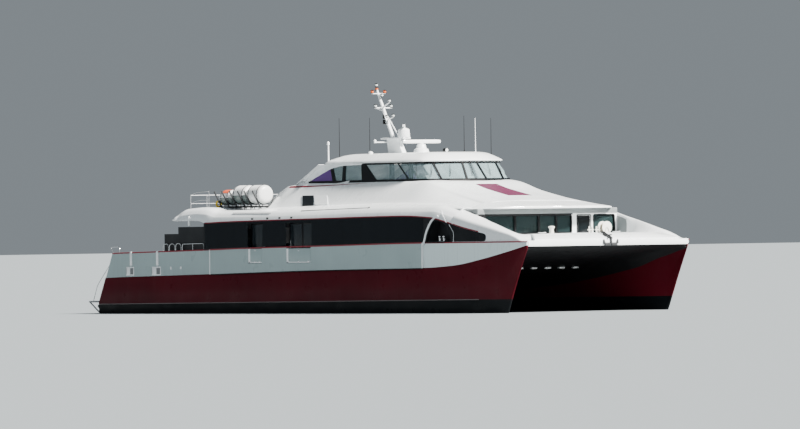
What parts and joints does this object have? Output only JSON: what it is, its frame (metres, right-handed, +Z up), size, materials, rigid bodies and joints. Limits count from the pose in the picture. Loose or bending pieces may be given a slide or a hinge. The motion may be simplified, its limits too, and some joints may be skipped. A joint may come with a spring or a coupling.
{
  "type": "twin-hull passenger ferry",
  "caption": "Fast twin-hull passenger ferry with maroon hulls, silver side band, tinted saloon windows, raked wheelhouse, waterjets, folding gates and sliding doors.",
  "frame": {"origin": "amidships on the centreline at the waterline", "axes": "+X forward to the bow, +Y to port, +Z up"},
  "size_m": [39.475, 10.8, 13.3601],
  "materials": {
    "hull_paint": "deep maroon gloss topcoat on aluminium",
    "bottom_paint": "black antifouling and tunnel paint, matt",
    "silver_paint": "light silver-grey gloss",
    "white_paint": "white gloss topcoat",
    "window_band": "near-black gloss surround",
    "tinted_glass": "dark tinted",
    "clear_glass": "faint green tint",
    "deck_coating": "non-slip grit paint",
    "seat_fabric": "moquette",
    "white_plastic": "moulded glass fibre",
    "alloy": "bare weathered marine aluminium",
    "galvanised": "dull galvanised"
  },
  "bodies": {
    "vessel": {"hull_starboard": "hull_paint", "hull_port": "hull_paint", "cross_deck": "bottom_paint", "side_plating_starboard": "silver_paint", "side_plating_port": "silver_paint", "main_deck": "deck_coating", "saloon_side_starboard": "window_band", "saloon_side_port": "window_band", "saloon_glazing_starboard": "tinted_glass", "saloon_glazing_port": "tinted_glass", "upper_shell": "white_paint", "shoulder_starboard": "white_paint", "shoulder_port": "white_paint", "foredeck": "white_paint", "front_bulkhead": "white_paint", "front_glazing": "tinted_glass", "aft_bulkhead": "white_paint", "stair_casing_starboard": "window_band", "stair_casing_port": "window_band", "saloon_seating": "seat_fabric", "wheelhouse_frame": "window_band", "wheelhouse_glazing": "clear_glass", "wheelhouse_roof": "white_paint", "bridge_deck": "deck_coating", "mast": "white_paint", "raft_forward_starboard": "white_plastic", "raft_middle_starboard": "white_plastic", "raft_aft_starboard": "white_plastic", "raft_cradle_starboard": "alloy", "raft_forward_port": "white_plastic", "raft_middle_port": "white_plastic", "raft_aft_port": "white_plastic", "raft_cradle_port": "alloy", "hawser_reel": "white_paint", "anchor": "galvanised", "jet_housing_starboard": "alloy", "jet_housing_port": "alloy"},
    "radar_main": {"radar_bar_main": "white_plastic"},
    "radar_top": {"radar_bar_top": "white_plastic"},
    "nozzle_starboard": {"jet_nozzle_starboard": "alloy"},
    "bucket_starboard": {"jet_bucket_starboard": "alloy"},
    "gate_aft_starboard_body": {"gate_aft_starboard": "silver_paint"},
    "gate_forward_starboard_body": {"gate_forward_starboard": "silver_paint"},
    "door_aft_starboard_body": {"door_aft_starboard": "tinted_glass"},
    "door_forward_starboard_body": {"door_forward_starboard": "tinted_glass"},
    "nozzle_port": {"jet_nozzle_port": "alloy"},
    "bucket_port": {"jet_bucket_port": "alloy"},
    "gate_aft_port_body": {"gate_aft_port": "silver_paint"},
    "gate_forward_port_body": {"gate_forward_port": "silver_paint"},
    "door_aft_port_body": {"door_aft_port": "tinted_glass"},
    "door_forward_port_body": {"door_forward_port": "tinted_glass"},
    "foredeck_door_body": {"foredeck_door": "tinted_glass"},
    "aft_door_body": {"aft_door": "tinted_glass"}
  },
  "joints": [
    {"name": "radar_main_spin", "type": "hinge", "parent": "vessel", "child": "radar_main", "pos_m": [3.66, 0, 8.8], "axis": [0, 0, 1], "continuous": true},
    {"name": "radar_top_spin", "type": "hinge", "parent": "vessel", "child": "radar_top", "pos_m": [2.15, 0, 9.6], "axis": [0, 0, 1], "continuous": true},
    {"name": "nozzle_starboard_steer", "type": "hinge", "parent": "vessel", "child": "nozzle_starboard", "pos_m": [-19.1, -4.12, -0.02], "axis": [0, 0, 1], "range_deg": [-22, 22]},
    {"name": "bucket_starboard_lower", "type": "hinge", "parent": "nozzle_starboard", "child": "bucket_starboard", "pos_m": [-19.35, -4.12, 0.12], "axis": [0, 1, 0], "range_deg": [-38, 0]},
    {"name": "gate_aft_starboard_fold", "type": "hinge", "parent": "vessel", "child": "gate_aft_starboard_body", "pos_m": [-3.76, -5.41, 2.6], "axis": [1, 0, 0], "range_deg": [0, 90]},
    {"name": "gate_forward_starboard_fold", "type": "hinge", "parent": "vessel", "child": "gate_forward_starboard_body", "pos_m": [0.165, -5.41, 2.6], "axis": [1, 0, 0], "range_deg": [0, 90]},
    {"name": "door_aft_starboard_slide", "type": "slide", "parent": "vessel", "child": "door_aft_starboard_body", "axis": [-1, 0, 0], "range_m": [0, 1.2]},
    {"name": "door_forward_starboard_slide", "type": "slide", "parent": "vessel", "child": "door_forward_starboard_body", "axis": [1, 0, 0], "range_m": [0, 2.1]},
    {"name": "nozzle_port_steer", "type": "hinge", "parent": "vessel", "child": "nozzle_port", "pos_m": [-19.1, 4.12, -0.02], "axis": [0, 0, 1], "range_deg": [-22, 22]},
    {"name": "bucket_port_lower", "type": "hinge", "parent": "nozzle_port", "child": "bucket_port", "pos_m": [-19.35, 4.12, 0.12], "axis": [0, 1, 0], "range_deg": [-38, 0]},
    {"name": "gate_aft_port_fold", "type": "hinge", "parent": "vessel", "child": "gate_aft_port_body", "pos_m": [-3.76, 5.41, 2.6], "axis": [1, 0, 0], "range_deg": [-90, 0]},
    {"name": "gate_forward_port_fold", "type": "hinge", "parent": "vessel", "child": "gate_forward_port_body", "pos_m": [0.165, 5.41, 2.6], "axis": [1, 0, 0], "range_deg": [-90, 0]},
    {"name": "door_aft_port_slide", "type": "slide", "parent": "vessel", "child": "door_aft_port_body", "axis": [-1, 0, 0], "range_m": [0, 1.2]},
    {"name": "door_forward_port_slide", "type": "slide", "parent": "vessel", "child": "door_forward_port_body", "axis": [1, 0, 0], "range_m": [0, 2.1]},
    {"name": "foredeck_door_swing", "type": "hinge", "parent": "vessel", "child": "foredeck_door_body", "pos_m": [14.4, 1.885, 4.2], "axis": [0, 0, 1], "range_deg": [-95, 0]},
    {"name": "aft_door_slide", "type": "slide", "parent": "vessel", "child": "aft_door_body", "axis": [0, 1, 0], "range_m": [0, 1.25]}
  ]
}
